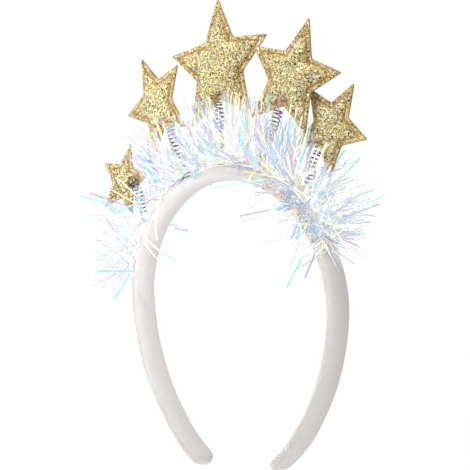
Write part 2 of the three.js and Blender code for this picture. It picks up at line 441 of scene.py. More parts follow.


# Glitter: grains of even tone that lean each its own way, with painted sparkle in the near-white and
# near-black grains, browner on the rim and with painted shade darkening the groove
GLITTER_SCALE = 2500
GLITTER_LEAN = 1.1
GLITTER_TINT = (*linear(255, 206, 112), 1)
# Gold grains are the glitter's own tone; the near-black and near-white ones are painted sparkle, flakes
# turned from and towards the light
GRAIN_TONES_AND_SPARKLE = [
    (0.0, linear(8, 5, 1)),
    (0.27, linear(22, 13, 3)),
    (0.30, linear(206, 174, 88)),
    (0.62, linear(252, 228, 134)),
    (0.66, linear(255, 253, 214)),
    (1.0, linear(255, 255, 238)),
]
# Browner tones mixed in on the rim, which are its own, and in the groove, where they are painted shade
RIM_TONES_AND_GROOVE_SHADE = [
    (0.0, linear(104, 62, 10)),
    (0.5, linear(182, 122, 34)),
    (1.0, linear(228, 178, 84)),
]


def star_material():
    m = Nodes("star_glitter")
    m.set(Metallic=0.7, Roughness=0.3, Specular_Tint=GLITTER_TINT)
    voronoi = m.add("ShaderNodeTexVoronoi", feature="F1")
    cells = m.feed(voronoi, {"Scale": GLITTER_SCALE, "Vector": m.place()})["Color"]
    tone = m.feed(m.add("ShaderNodeSeparateColor"), {"Color": cells})
    grain_and_sparkle = m.ramp(tone["Red"], GRAIN_TONES_AND_SPARKLE)
    rim = m.ramp(tone["Green"], RIM_TONES_AND_GROOVE_SHADE)
    m.set(Base_Color=m.mix(m.value("rim"), grain_and_sparkle, rim))
    spread = m.vector("SUBTRACT", cells, (0.5, 0.5, 0.5))
    lean = m.vector("MULTIPLY", spread, (GLITTER_LEAN, GLITTER_LEAN, GLITTER_LEAN))
    total = m.vector("ADD", m.add("ShaderNodeNewGeometry").outputs["Normal"], lean)
    m.set(Normal=m.vector("NORMALIZE", total))
    return m.material


# A star's rings from its edge inwards: distance in from the edge as a share of the rim, lift, rim tone with
# painted groove shade
RIM_RINGS = [
    (0.0, 0.28, 0.75),
    (0.12, 0.46, 0.25),
    (0.5, 0.55, 0.1),
    (0.86, 0.5, 0.2),
    (1.0, 0.26, 0.9),
]
GROOVE_INSIDE = 0.3
GROOVE_SHADE = 0.4
RING_POINTS = 120
STAR_SPACING = 1.15
INNER_CLEAR = 0.75 * STAR_SPACING
INSIDE_ONLY = 1
MERGE_DISTANCE = 1e-6
STAR_LEVELS = 1
STAR_START = 0.84
STAR_PRESSURE = 6.0
STAR_SLACK = 0.05
STAR_CAP = 0.9


def star_plan(radius, outline):
    """One face of a star in its plane: points, triangles, rim tone with painted groove shade, lifts, held
    points and edge.
    """
    reach = radius * EDGE_REACH
    spaced = outline[:: len(outline) // RING_POINTS] * radius
    scales = [1 - share * RIM_WIDTH / reach for share, _, _ in RIM_RINGS]
    scales.append(1 - (RIM_WIDTH + GROOVE_INSIDE) / reach)
    rings = [spaced * scale for scale in scales]
    count = len(spaced)
    inner = 1 - (RIM_WIDTH + GROOVE_INSIDE + INNER_CLEAR) / reach
    rows = np.arange(-radius, radius, STAR_SPACING * math.sqrt(3) / 2)
    grid = []
    for i, z in enumerate(rows):
        x = np.arange(-radius, radius, STAR_SPACING) + (i % 2) * STAR_SPACING / 2
        grid.append(np.stack([x, np.full_like(x, z)], 1))
    grid = np.concatenate(grid)
    grid = grid[star_scale(grid[:, 0] / radius, grid[:, 1] / radius) < inner]
    flat = np.concatenate(rings + [grid])
    bounds = []
    for k in range(len(rings)):
        bounds += [(k * count + i, k * count + (i + 1) % count) for i in range(count)]
    vectors = [Vector(p) for p in flat]
    made = delaunay_2d_cdt(vectors, bounds, [list(range(count))], INSIDE_ONLY, MERGE_DISTANCE)
    plan = np.array([tuple(p) for p in made[0]])
    source = [origin[0] for origin in made[3]]
    looks = [rim_and_groove_shade for _, _, rim_and_groove_shade in RIM_RINGS] + [GROOVE_SHADE]
    rim_and_groove_shade = np.concatenate([np.repeat(looks, count), np.zeros(len(grid))])[source]
    lifts = [lift for _, lift, _ in RIM_RINGS] + [RIM_RINGS[-1][1]]
    lift = np.concatenate([np.repeat(lifts, count), np.full(len(grid), RIM_RINGS[-1][1])])[source]
    held = np.array(source) < count * len(RIM_RINGS)
    edge = np.array([source.index(i) for i in range(count)])
    return plan, made[2], rim_and_groove_shade, lift, held, edge


def make_star(index, row, outline, grid, material):
    radius = row["radius"]
    plan, triangles, rim_and_groove_shade, lift, held, edge = star_plan(radius, outline)
    groove = radius * (1 - RIM_WIDTH / (radius * EDGE_REACH))
    puff = sample_puff(grid, plan[:, 0] / groove, plan[:, 1] / groove) * radius * PUFF_SHARE
    thick = lift + np.where(held, 0, puff * STAR_START)
    front = np.stack([plan[:, 0], -thick, plan[:, 1]], 1)
    back = front * (1, -1, 1)
    count = len(plan)
    faces = [tuple(t) for t in triangles] + [tuple(count + i for i in reversed(t)) for t in triangles]
    turned = np.roll(edge, -1)
    faces += [(int(b), int(a), int(a + count), int(b + count)) for a, b in zip(edge, turned)]
    local = np.concatenate([front, back])
    local = inflate(local, faces, np.nonzero(np.tile(held, 2))[0], STAR_PRESSURE, STAR_SLACK, STAR_CAP)
    points = local @ star_axes(row).T + np.array(row["at"])
    name = f"star_{index + 1}"
    piece = make_piece(f"{name}_padded", points, faces, material)
    # The rim attribute carries the rim's browner tone and the painted shade in the groove
    add_values(piece, "rim", np.tile(rim_and_groove_shade, 2))
    subdivide(piece, STAR_LEVELS)
    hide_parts(name)


# Springs: mesh, and a bright wire with dark streaks painted into its colour as dark reflections
AXIS_POINTS = 200
AXIS_STRIDE = 12
TURN_STEPS = 26
WIRE_SIDES = 8
END_SIZE = 0.6
END_DOME = 0.4
REFLECTION_STREAK_SCALE = 900
REFLECTION_STREAK_DETAIL = 2
PAINTED_REFLECTION_TONES = [(0.40, (0.02, 0.02, 0.022)), (0.62, (0.36, 0.36, 0.37))]


def spring_axis(row):
    """Points along a spring's axis, square to the hoop at its foot and in line with the star at its top."""
    point, _, normal = hoop(CROWN_RADIUS * math.radians(row["stand"]))
    foot = point + normal * (BAND_THICKNESS / 2 + GAP + WIRE_RADIUS) + ACROSS * SPRING_Y
    axes = star_axes(row)
    crotch = np.array([0, 0, -row["radius"] * CROTCH_SHARE])
    top = axes @ (crotch + np.array(row["seat"])) + np.array(row["at"])
    pull = np.linalg.norm(top - foot) / 3
    lower = foot + normal * pull
    upper = top - axes[:, 2] * pull
    t = np.linspace(0, 1, AXIS_POINTS)[:, None]
    s = 1 - t
    return s**3 * foot + 3 * s**2 * t * lower + 3 * s * t**2 * upper + t**3 * top


def spring_material():
    m = Nodes("spring_wire")
    m.set(Metallic=1.0, Roughness=0.22)
    # Dark streaks in the wire's colour are painted reflection of dark surroundings
    m.set(Base_Color=m.ramp(m.noise(REFLECTION_STREAK_SCALE, REFLECTION_STREAK_DETAIL), PAINTED_REFLECTION_TONES))
    return m.material


def sweep(path, radius, sides):
    """Round tube with domed ends along a dense path."""
    tangent = unit(np.gradient(path, axis=0))
    across = unit(np.cross(tangent, np.roll(tangent, -1, 0) - np.roll(tangent, 1, 0)))
    across[0], across[-1] = across[1], across[-2]
    third = np.cross(tangent, across)
    angle = np.arange(sides) * 2 * math.pi / sides
    size = np.full(len(path), radius)
    size[0] = size[-1] = radius * END_SIZE
    offset = across[:, None] * np.cos(angle)[:, None] + third[:, None] * np.sin(angle)[:, None]
    rings = path[:, None] + offset * size[:, None, None]
    dome = tangent * radius * END_DOME
    ends = np.stack([path[0] - dome[0], path[-1] + dome[-1]])
    return np.concatenate([rings.reshape(-1, 3), ends]), ring_faces(len(path), sides)


def make_spring(index, axis, material):
    steps = np.linalg.norm(np.diff(axis, axis=0), axis=1)
    run = np.concatenate([[0], np.cumsum(steps)])
    length = run[-1]
    turns = round((length - 2 * CLOSED_PITCH) / COIL_PITCH) + 2
    turn = np.linspace(0, turns, turns * TURN_STEPS + 1)
    open_pitch = (length - 2 * CLOSED_PITCH) / (turns - 2)
    height = np.clip(turn - 1, 0, turns - 2) * open_pitch
    height += (np.minimum(turn, 1) + np.maximum(turn - turns + 1, 0)) * CLOSED_PITCH
    centre = np.stack([np.interp(height, run, column) for column in axis.T], 1)
    slope = np.gradient(axis, axis=0)
    along = unit(np.stack([np.interp(height, run, column) for column in slope.T], 1))
    across = unit(np.cross(ACROSS, along))
    third = np.cross(along, across)
    angle = 2 * math.pi * turn[:, None]
    path = centre + COIL_RADIUS * (across * np.cos(angle) + third * np.sin(angle))
    points, faces = sweep(path, WIRE_RADIUS, WIRE_SIDES)
    name = f"spring_{index + 1}"
    piece = make_piece(f"{name}_coil", points, faces, material)
    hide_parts(name)


# Tinsel: bunches of film strips that stand out of the core. Roots are places in degrees from the apex, with
# the share of the strips that is rooted before each. A fan is an angle round the core in radians, nothing
# straight out and more to the back: its mean and spread, and its ends.
LONG = dict(
    tries=2400, kept=950, roots=[(-80, 0.0), (-45, 0.13), (25, 0.66), (50, 0.95), (61, 1.0)],
    lengths=(18.0, 34.0), fan=(-5 * DEG, 40 * DEG), front_end=-30 * DEG,
    fan_ends=(-74 * DEG, 112 * DEG), slant=31 * DEG, bend=0.16, kinked=0.3,
)
CURLED = dict(
    tries=1500, kept=640, roots=[(-80, 0.0), (-45, 0.08), (25, 0.34), (61, 1.0)],
    lengths=(4.0, 11.0), fan=(-20 * DEG, 58 * DEG),
    fan_ends=(-105 * DEG, 112 * DEG), slant=0.9, bend=0.7, kinked=0.6,
)
UPRIGHT = dict(
    tries=420, kept=150, roots=[(-16, 0.0), (30, 1.0)], lengths=(24.0, 36.0), fan=(0.0, 0.25),
    fan_ends=(-0.6, 0.6), slant=0.2, bend=0.06, kinked=0.0,
)
TANGLED = dict(
    tries=500, kept=220, roots=[(34, 0.0), (58, 1.0)], lengths=(10.0, 24.0), fan=(0.45, 0.8),
    fan_ends=(-1.8, 1.95), slant=0.7, bend=0.3, kinked=0.6,
)
FLAKES = dict(
    tries=2800, roots=[(-80, 0.0), (-45, 0.07), (20, 0.38), (61, 1.0)], lengths=(2.0, 5.5), fan=(0.2, 1.0),
    fan_ends=(-70 * DEG, 130 * DEG), slant=0.9, bend=0.3, kinked=0.3,
)
STRIP_SAMPLES = 8
STRIP_HALF_WIDTHS = (0.45, 0.72)
STRIP_HALF_THICKNESS = 0.03
STRIP_ROUGHNESS = 0.18
STRIP_TWIST = 1.6
LENGTH_SPREAD = (2.0, 1.4)
ROOT_DEPTH = 0.4
LAST_KNEE = 0.6
KINK = 1.7
BEND_POWER = 1.4
CURL_RICH = 0.5
RICH_WIDTH = 0.55
EDGED_SHARE = 0.82
EDGE_HALF_WIDTHS = (0.09, 0.2)
EDGE_HALF_THICKNESS = 0.05
EDGE_FIRST = 2
# Glint edges are painted highlights: white and yellow strips that glow strongly, standing in for film edges
# catching the light
GLINT_SHARE = 0.36

# What changes along the core: places in degrees, and the value at each
FRONT_PLACES = (-25, 12)
PALE_FLAKES = ((-32, 25), (1.0, 0.2))
MORE_BEND = ((15, 40), (1.0, 1.9))
SHORTER = ((-80, -60, -45, -30, 40, 61), (0.65, 0.8, 0.9, 1.0, 0.95, 0.6))

# Distances kept from the other pieces, and the shares left out before springs and stars
BAND_CLEAR = 0.4
STAR_CLEAR = 0.5
COIL_CLEAR = 0.3
FLAKE_BAND_CLEAR = 0.2
FLAKE_COIL_CLEAR = 0.1
DRAPED_CLEAR = 0.3
FRONT_REACH = -37.0
COVER_SAMPLES = 2
SPRING_COVER_DROPPED = 0.65
STAR_COVER_DROPPED = (1.0, 0.75, 0.0, 0.0, 0.4)

# Kinds of film, with the shares of the first three, and their tints by share
CLEAR, PASTEL, BRIGHT, EDGE, GLINT = 0, 1, 2, 3, 4
KIND_SHARES = (0.52, 0.39, 0.09)
KIND_ALPHAS = (0.03, 0.22, 0.6, 0.55, 0.55)
# Glows are painted light: emission that brightens each kind of film as if lit through, though it is no lamp
KIND_PAINTED_GLOWS = (0.28, 0.15, 0.12, 0.09, 0.5)
FILM_COAT = 0.3
FILM_LAYERS = 64
CLEAR_TINTS = [
    (0.42, 252, 252, 255), (0.2, 240, 238, 255), (0.18, 236, 248, 255), (0.1, 255, 242, 250),
    (0.1, 253, 252, 236),
]
PASTEL_TINTS = [
    (0.26, 222, 216, 250), (0.26, 194, 238, 250), (0.14, 248, 216, 240), (0.17, 252, 246, 200),
    (0.12, 202, 220, 252), (0.05, 252, 252, 250),
]
BRIGHT_TINTS = [
    (0.28, 150, 234, 254), (0.2, 156, 196, 255), (0.16, 186, 168, 252), (0.06, 246, 150, 230),
    (0.3, 255, 255, 252),
]
EDGE_TINTS = [
    (0.19, 202, 196, 238), (0.12, 156, 204, 240), (0.19, 144, 226, 238), (0.15, 240, 180, 222),
    (0.12, 178, 178, 190), (0.15, 242, 228, 160), (0.08, 186, 222, 190),
]
CURL_TINTS = [
    (0.18, 236, 224, 190), (0.1, 120, 112, 84), (0.05, 240, 200, 150), (0.2, 128, 160, 214),
    (0.15, 216, 190, 236), (0.16, 132, 214, 232), (0.16, 255, 255, 250),
]
GLINT_TINTS = [(0.6, 255, 253, 240), (0.4, 253, 244, 176)]
NAMED_TINTS = dict(
    cyan=(126, 228, 250),
    cyan_pale=(184, 246, 250),
    blue=(140, 184, 252),
    blue_violet=(138, 142, 244),
    violet=(172, 150, 246),
    violet_grey=(182, 178, 232),
    lavender=(216, 208, 250),
    magenta=(244, 138, 226),
    mint=(214, 242, 236),
    yellow=(255, 252, 200),
    white=(255, 255, 252),
)
# Strands of these tints are made glint film: painted highlights that glow strongly
GLINTING = ("yellow", "white")
FLAKE_TINTS = [
    (0.24, 246, 240, 212), (0.17, 228, 216, 176), (0.2, 255, 255, 252), (0.13, 196, 194, 190),
    (0.1, 226, 186, 128), (0.08, 104, 92, 66), (0.08, 158, 186, 224),
]
PALE_FLAKE_TINTS = [
    (0.4, 255, 255, 252), (0.24, 232, 230, 250), (0.22, 206, 236, 250), (0.14, 250, 246, 226),
]
FLAKE_SAMPLES = 4
FLAKE_HALF_WIDTH = 0.32
FLAKE_ROUGHNESS = 0.25
# Painted glow of the flakes and the thread: emission standing in for light passing through them
FLAKE_PAINTED_GLOW = 0.14
THREAD_RINGS = 320
THREAD_RADIUS = 0.6
THREAD_SIDES = 8
THREAD_ROUGHNESS = 0.3

# Flakes pressed against the hoop round the right end: places in degrees, and the angle round its section,
# which is nothing at the front edge and a quarter turn at the middle of the outer face
DRAPED_COUNT = 560
DRAPED_PLACES = (21, 58)
DRAPED_TURNS = (0.2, 1.5)
DRAPED_LENGTHS = (2.0, 5.5)
DRAPED_LIFTS = (0.45, 1.5)
DRAPED_TINTS = [
    (0.26, 232, 210, 156), (0.16, 204, 176, 124), (0.225, 255, 255, 250), (0.13, 98, 86, 66),
    (0.11, 240, 196, 180), (0.08, 146, 190, 206), (0.035, 226, 156, 84),
]

# Strands that stand out, by tint: place on the core in degrees, end in the picture in pixels, lean towards
# the camera in millimetres, where the tint starts and ends as shares of the length, half width. The leans
# were chosen so that each strand clears the hoop, the stars and the springs.
STRAND_WIDTH = 0.85
STRANDS = dict(
    violet=[
        (-54, (90, 193), 0, 0.3, 1, 0.4), (8, (222.5, 152), 0, 0.1, 0.9, 0.42),
        (40, (240, 216), 0, 0.5, 1, 0.42), (42, (242, 221), 1, 0.55, 1, 0.36),
        (52, (379.5, 204), 0, 0.4, 1, 0.45), (50, (352, 221), 0, 0.7, 1, 0.5),
        (56, (305, 277.8), 7, 0.45, 1, 0.45), (42, (291.2, 238.9), 8, 0.45, 1, 0.4),
    ],
    cyan_pale=[
        (-55, (79.5, 195.5), 0, 0.3, 1, 0.5), (-67, (176.5, 260.5), -20, 0.6, 1, 0.45),
        (23, (212, 187.8), 0, 0.1, 1, 0.5), (30, (287, 129), 0, 0.2, 1, 0.5),
        (50, (385, 196), 0, 0.5, 1, 0.45), (35, (311, 124), 10.5, 0.5, 1, 0.4),
        (48, (334, 170), 13.5, 0.3, 1, 0.5),
    ],
    mint=[
        (-56, (90.5, 215), 0, 0.3, 1, 0.4), (-62, (93, 243), 0, 0.4, 1, 0.4),
        (12, (257, 99), 7, 0.5, 1, 0.35),
    ],
    violet_grey=[(-76, (106.5, 219), 0, 0.05, 1, 0.45)],
    cyan=[
        (-80, (97, 271.5), 0, 0, 1, 0.62), (-79, (114, 300), 0, 0.2, 1, 0.5),
        (-41, (137, 158), 0, 0.25, 0.8, 0.5), (-21, (195, 180), 10, 0.1, 1, 0.6),
        (-15, (199, 120), 0, 0.1, 1, 0.55), (-14, (206, 103), 1, 0.6, 1, 0.55),
        (16, (237, 134), 0, 0.1, 1, 0.6), (37, (275.4, 209.7), 2, 0.1, 1, 0.75),
        (42, (345, 150), 0, 0.6, 1, 0.75), (45, (360, 158), 0, 0.45, 1, 0.6),
        (46, (373.5, 189.6), 0, 0.55, 1, 0.5), (52, (287, 287), 11, 0.5, 1, 0.45),
        (17, (269, 92), 9.5, 0.75, 1, 0.45),
    ],
    blue=[
        (-56, (135, 228), 0, 0.2, 1, 0.5), (-40, (140, 150), 0, 0.2, 1, 0.5),
        (18, (266.8, 118), 5.5, 0.75, 1, 0.5), (39, (282.9, 212), 2, 0.2, 1, 0.6),
        (28, (281, 131), 0, 0.3, 0.9, 0.5), (32, (295, 134), 0, 0.35, 0.9, 0.5),
        (55, (346.7, 219.5), 0, 0.3, 1, 0.5),
    ],
    blue_violet=[
        (-30, (171.5, 187), 0, 0.1, 1, 0.4), (-38, (148, 160), 0, 0.3, 1, 0.4),
    ],
    lavender=[
        (-57, (177.5, 226), -14, 0.6, 1, 0.5), (59, (354, 264), 0, 0.4, 1, 0.45),
        (-70, (104, 246), 0, 0.4, 1, 0.42), (46, (327, 163), 11.5, 0.35, 1, 0.55),
    ],
    magenta=[
        (-45, (134, 156), 0, 0.45, 1, 0.45), (24, (258, 119), 0, 0.4, 1, 0.45),
        (57, (354.2, 238.7), 0, 0.6, 1, 0.5), (22, (280, 95), 8, 0.75, 1, 0.4),
    ],
    yellow=[
        (44, (333, 166.4), 0, 0.7, 1, 0.7), (40, (326.5, 143), 12, 0.55, 1, 0.6),
        (34, (307, 130), 7, 0.6, 1, 0.6), (-33, (155, 118), 0, 0.55, 1, 0.5),
        (-32, (163, 121), 0, 0.6, 1, 0.42), (-52, (117, 177.5), 0, 0.4, 1, 0.4),
        (-53, (112, 190), 0, 0.5, 1, 0.35), (-27, (174, 116), 1, 0.55, 1, 0.3),
        (-25, (181.1, 129), 1, 0.4, 1, 0.25), (-17, (198, 108), 1, 0.6, 1, 0.28),
        (-10, (209, 97), 1.5, 0.6, 1, 0.25), (-3, (231, 97), 3, 0.6, 1, 0.28),
        (0, (236, 92), 3, 0.6, 1, 0.32), (6, (244, 104), 1, 0.6, 1, 0.3),
        (14, (262, 89), 8, 0.65, 1, 0.35), (25, (291, 104), 10, 0.6, 1, 0.3),
        (29, (297, 107), 10, 0.55, 1, 0.3),
    ],
    white=[
        (-19, (194, 112), 1, 0.5, 1, 0.25), (3, (239, 99), 2, 0.6, 1, 0.25),
        (9, (252, 97), 3, 0.5, 1, 0.3), (31, (302, 116), 11, 0.5, 1, 0.3),
        (37, (318, 150), 13, 0.4, 1, 0.3), (43, (322, 158), 11, 0.4, 1, 0.45),
        (45, (331, 166), 13.5, 0.3, 1, 0.5),
    ],
)

# White strands that bow over the front of the hoop, made glint film that glows as painted highlights: as
# above, with the bow in millimetres
BOWED = [
    (-58.5, (160.6, 251.5), 24, 0, 1, 0.34, (-1.5, -3.9, 0.9)),
    (-60, (158.7, 260.2), 23, 0, 1, 0.3, (-1.5, -3.3, 0.8)),
    (-44, (157, 240), 21, 0, 1, 0.28, (-0.6, -1.8, 0.6)),
]


def core_place(angle):
    """Points on the middle of the core at angles from the apex, with tangents and outward normals."""
    point, tangent, normal = hoop(CROWN_RADIUS * np.asarray(angle, float))
    lift = BAND_THICKNESS / 2 + GAP + CORE_RADIUS
    return point + normal * lift + ACROSS * CORE_Y, tangent, normal


def in_band(points, margin):
    """Which points lie in the hoop or within the margin of it."""
    x, y, z = np.moveaxis(points, -1, 0)
    middle = BAND_THICKNESS / 2 - CROWN_RADIUS
    angle = np.abs(np.arctan2(x, z - middle))
    rise = np.hypot(x, z - middle) - CROWN_RADIUS
    shift = CROWN_RADIUS - LEG_RADIUS
    leg_x = shift * math.sin(CROWN_SWEEP)
    leg_z = middle + shift * math.cos(CROWN_SWEEP)
    leg_rise = np.hypot(np.abs(x) - leg_x, z - leg_z) - LEG_RADIUS
    rise = np.where(angle < CROWN_SWEEP, rise, leg_rise)
    wide = np.abs(y) / (BAND_WIDTH / 2 + margin)
    deep = np.abs(rise) / (BAND_THICKNESS / 2 + margin)
    return wide**BAND_SQUARENESS + deep**BAND_SQUARENESS < 1


def in_star(points, row, margin):
    """Which points lie in a star or within the margin of it."""
    local = (points - np.array(row["at"])) @ star_axes(row)
    radius = row["radius"]
    scale = star_scale(local[..., 0] / radius, local[..., 2] / radius)
    half = RIM_HALF + radius * PUFF_SHARE * np.sqrt(np.clip(1 - scale, 0, 1))
    return (scale < 1 + margin / radius) & (np.abs(local[..., 1]) < half + margin)


def near_axis(points, axis, reach):
    """Which points lie within reach of a spring's axis."""
    nearest = np.full(points.shape[:-1], np.inf)
    for p in axis[::AXIS_STRIDE]:
        nearest = np.minimum(nearest, np.linalg.norm(points - p, axis=-1))
    return nearest < reach


def pick_tints(rng, table, count):
    """Linear colours drawn from a table of shares and display colours."""
    shares, *srgb = np.array(table, float).T
    return linear(*srgb).T[rng.choice(len(table), count, p=shares / shares.sum())]


def strip_lines(rng, samples, bunch):
    """Centre lines of a bunch's strips, each bent or kinked somewhere, and the places of their roots."""
    count = bunch["tries"]
    places, shares = np.array(bunch["roots"], float).T
    place = np.interp(rng.uniform(0, 1, count), shares, places)
    root, tangent, normal = core_place(np.radians(place))
    around = rng.normal(*bunch["fan"], count)
    least, most = bunch["fan_ends"]
    front = np.interp(place, FRONT_PLACES, (least, bunch.get("front_end", least)))
    around = np.where(around < front, 2 * front - around, around)
    around = np.clip(around, least, most)[:, None]
    tilt = rng.normal(0, bunch["slant"], count)[:, None]
    out = normal * np.cos(around) + ACROSS * np.sin(around)
    ahead = out * np.cos(tilt) + tangent * np.sin(tilt)
    short, long = bunch["lengths"]
    length = short + (long - short) * rng.beta(*LENGTH_SPREAD, count)
    length *= np.interp(place, *SHORTER)
    curl = rng.normal(0, bunch["bend"], (count, 3)) * np.interp(place, *MORE_BEND)[:, None]
    curl -= ahead * (curl * ahead).sum(1, keepdims=True)
    knee = rng.uniform(0, LAST_KNEE, count)[:, None, None]
    kinked = rng.uniform(0, 1, (count, 1, 1)) < bunch["kinked"]
    t = np.linspace(0, 1, samples)[None, :, None]
    start = root + out * CORE_RADIUS * ROOT_DEPTH
    after = np.maximum(t - knee, 0)
    bent = np.where(kinked, KINK * after, after**BEND_POWER)
    return start[:, None] + (ahead[:, None] * t + curl[:, None] * bent) * length[:, None, None], place


def picture_point(spot, depth):
    """Point in millimetres that shows at a spot of the picture, nearer than the camera's aim by a depth."""
    away = CAMERA_DISTANCE / MM - depth
    pixel = away * SENSOR_WIDTH / (PICTURE_SIZE * CAMERA_LENS)
    right = (spot[0] - PICTURE_SIZE / 2) * pixel
    up = (PICTURE_SIZE / 2 - spot[1]) * pixel
    return np.array(CAMERA_AIM / MM + CAMERA_BACK * depth + CAMERA_RIGHT * right + CAMERA_UP * up)


def strand_lines():
    """Centre lines, kinds of the stretches, tints of the samples and half widths of the named strands."""
    stretches = STRIP_SAMPLES - 1
    t = np.linspace(0, 1, STRIP_SAMPLES)
    middle = (np.arange(stretches) + 0.5) / stretches
    reach = 0.5 / stretches
    across = t[:, None]
    clear = linear(*CLEAR_TINTS[0][1:])
    rows = [(tint, *row, (0, 0, 0)) for tint, group in STRANDS.items() for row in group]
    rows += [("white", *row) for row in BOWED]
    lines, kinds, tints, halves = [], [], [], []
    for tint, place, spot, lean, first, last, half, bow in rows:
        root = core_place(math.radians(place))[0]
        depth = (root - np.array(CAMERA_AIM) / MM) @ np.array(CAMERA_BACK) + lean
        run = picture_point(spot, depth) - root
        lines.append(root + run * across + np.array(bow) * 4 * across * (1 - across))
        # Yellow and white strands glow as painted highlights
        kind = GLINT if tint in GLINTING else BRIGHT
        kinds.append(np.where((middle >= first) & (middle <= last), kind, CLEAR))
        inside = (t >= first - reach) & (t <= last + reach)
        tints.append(np.where(inside[:, None], linear(*NAMED_TINTS[tint]), clear))
        halves.append(half * STRAND_WIDTH)
    return np.array(lines), np.array(kinds), np.array(tints), np.array(halves)


def strip_frames(rng, line, broadside=0):
    """Directions across the width and the thickness of strips along centre lines, with a slow twist.

    The last strips, as many as broadside says, have no twist and show their width to the picture's side.
    """
    count = len(line)
    tangent = unit(np.gradient(line, axis=1))
    seed = rng.normal(size=(count, 1, 3))
    seed[count - broadside:] = np.array(CAMERA_BACK)
    wide = unit(np.cross(tangent, seed))
    thin = np.cross(tangent, wide)
    twist = rng.uniform(-STRIP_TWIST, STRIP_TWIST, (count, 1, 1))
    twist = twist * np.linspace(0, 1, line.shape[1])[None, :, None]
    twist[count - broadside:] = 0
    flat = wide * np.cos(twist) + thin * np.sin(twist)
    return flat, np.cross(tangent, flat)


def strip_mesh(line, frames, half_width, half_thickness):
    """Thin closed strips of film round centre lines."""
    count, samples = line.shape[:2]
    flat = frames[0] * np.broadcast_to(half_width, count)[:, None, None]
    edge = frames[1] * half_thickness
    rings = np.stack([line + flat + edge, line - flat + edge, line - flat - edge, line + flat - edge], 2)
    base = (np.arange(count) * samples * 4)[:, None]
    block = []
    for i in range(samples - 1):
        for j in range(4):
            k = (j + 1) % 4
            block.append((i * 4 + j, i * 4 + k, i * 4 + 4 + k, i * 4 + 4 + j))
    last = (samples - 1) * 4
    block.append((3, 2, 1, 0))
    block.append((last, last + 1, last + 2, last + 3))
    faces = (base[:, :, None] + np.array(block)[None]).reshape(-1, 4)
    return rings.reshape(-1, 3), faces


def face_kinds(kinds):
    """Material number of each face from the kind of each stretch of each strip."""
    sides = np.repeat(kinds, 4, axis=1)
    return np.concatenate([sides, kinds[:, :1], kinds[:, -1:]], 1).ravel()


def film_material(name, roughness, alpha, painted_glow):
    """Glossy film in the tint of its points, with a painted glow: emission standing in for light passing
    through it.
    """
    m = Nodes(name)
    m.set(Roughness=roughness, Alpha=alpha, Coat_Weight=FILM_COAT)
    m.set(Emission_Color=WHITE, Emission_Strength=painted_glow)
    m.set(Base_Color=m.value("tint", "Color"))
    return m.material


def strip_hits(line, axes):
    """Which strips would pass through the hoop, a star or a spring."""
    probe = line[:, 1:]
    hit = in_band(probe, BAND_CLEAR).any(1)
    for row, axis in zip(STARS, axes):
        hit |= in_star(probe, row, STAR_CLEAR).any(1)
        hit |= near_axis(probe, axis, COIL_RADIUS + WIRE_RADIUS + COIL_CLEAR).any(1)
    return hit


def spring_cover(line, axes):
    """Which strips stand before a spring, seen from the picture's side."""
    reach = CAMERA_DISTANCE / MM
    sight = unit(line - EYE) * reach
    over = np.zeros(line.shape[:2], bool)
    for axis in axes:
        over |= near_axis(sight, unit(axis - EYE) * reach, COIL_RADIUS)
    return over.sum(1) >= COVER_SAMPLES


def star_cover(line, row):
    """Which strips stand before a star, seen from the picture's side."""
    eye, local = ((p - np.array(row["at"])) @ star_axes(row) for p in (EYE, line))
    share = eye[1] / (eye[1] - local[..., 1:2])
    spot = eye + (local - eye) * share
    over = star_scale(spot[..., 0] / row["radius"], spot[..., 2] / row["radius"]) < 1
    return over.sum(1) >= COVER_SAMPLES


def free_strips(rng, line, axes):
    """Strips that touch nothing and keep their reach, thinned out before the springs and three stars."""
    chance = rng.uniform(0, 1, len(line))
    dropped = spring_cover(line, axes) & (chance < SPRING_COVER_DROPPED)
    for row, share in zip(STARS, STAR_COVER_DROPPED):
        dropped |= star_cover(line, row) & (chance < share)
    dropped |= line[..., 1].min(1) < FRONT_REACH
    return line[~strip_hits(line, axes) & ~dropped]


def loose_strips(rng, axes):
    """Centre lines of the strips of all bunches, the curled ones last, and how many those are."""
    kept = []
    for pair in ((LONG, CURLED), (UPRIGHT, TANGLED)):
        lines = [strip_lines(rng, STRIP_SAMPLES, bunch)[0] for bunch in pair]
        kept += [free_strips(rng, line, axes)[:bunch["kept"]] for bunch, line in zip(pair, lines)]
    long, curled, upright, tangled = kept
    return np.concatenate([long, upright, tangled, curled]), len(curled)


def loose_looks(rng, count, curled):
    """Kinds of the stretches, tints of the samples and half widths of the strips of all bunches."""
    stretches = STRIP_SAMPLES - 1
    kind = rng.choice(len(KIND_SHARES), count, p=KIND_SHARES)[:, None]
    first = rng.integers(0, stretches - 1, count)[:, None]
    last = np.minimum(first + rng.integers(2, stretches + 1, count)[:, None], stretches)
    place = np.arange(stretches)[None]
    kinds = np.where((place >= first) & (place < last), kind, CLEAR)
    spots = np.arange(STRIP_SAMPLES)[None]
    shown = ((spots >= first) & (spots <= last))[..., None]
    tables = (CLEAR_TINTS, PASTEL_TINTS, BRIGHT_TINTS)
    plain, pastel, bright = [pick_tints(rng, table, count)[:, None] for table in tables]
    strong = np.where(kind[..., None] == PASTEL, pastel, plain)
    strong = np.where(kind[..., None] == BRIGHT, bright, strong)
    tint = np.where(shown, strong, plain)
    half = rng.uniform(*STRIP_HALF_WIDTHS, count)
    rich = (np.arange(count) >= count - curled) & (rng.uniform(0, 1, count) < CURL_RICH)
    kinds = np.where(rich[:, None], EDGE, kinds)
    tint = np.where(rich[:, None, None], pick_tints(rng, CURL_TINTS, count)[:, None], tint)
    return kinds, tint, np.where(rich, half * RICH_WIDTH, half)


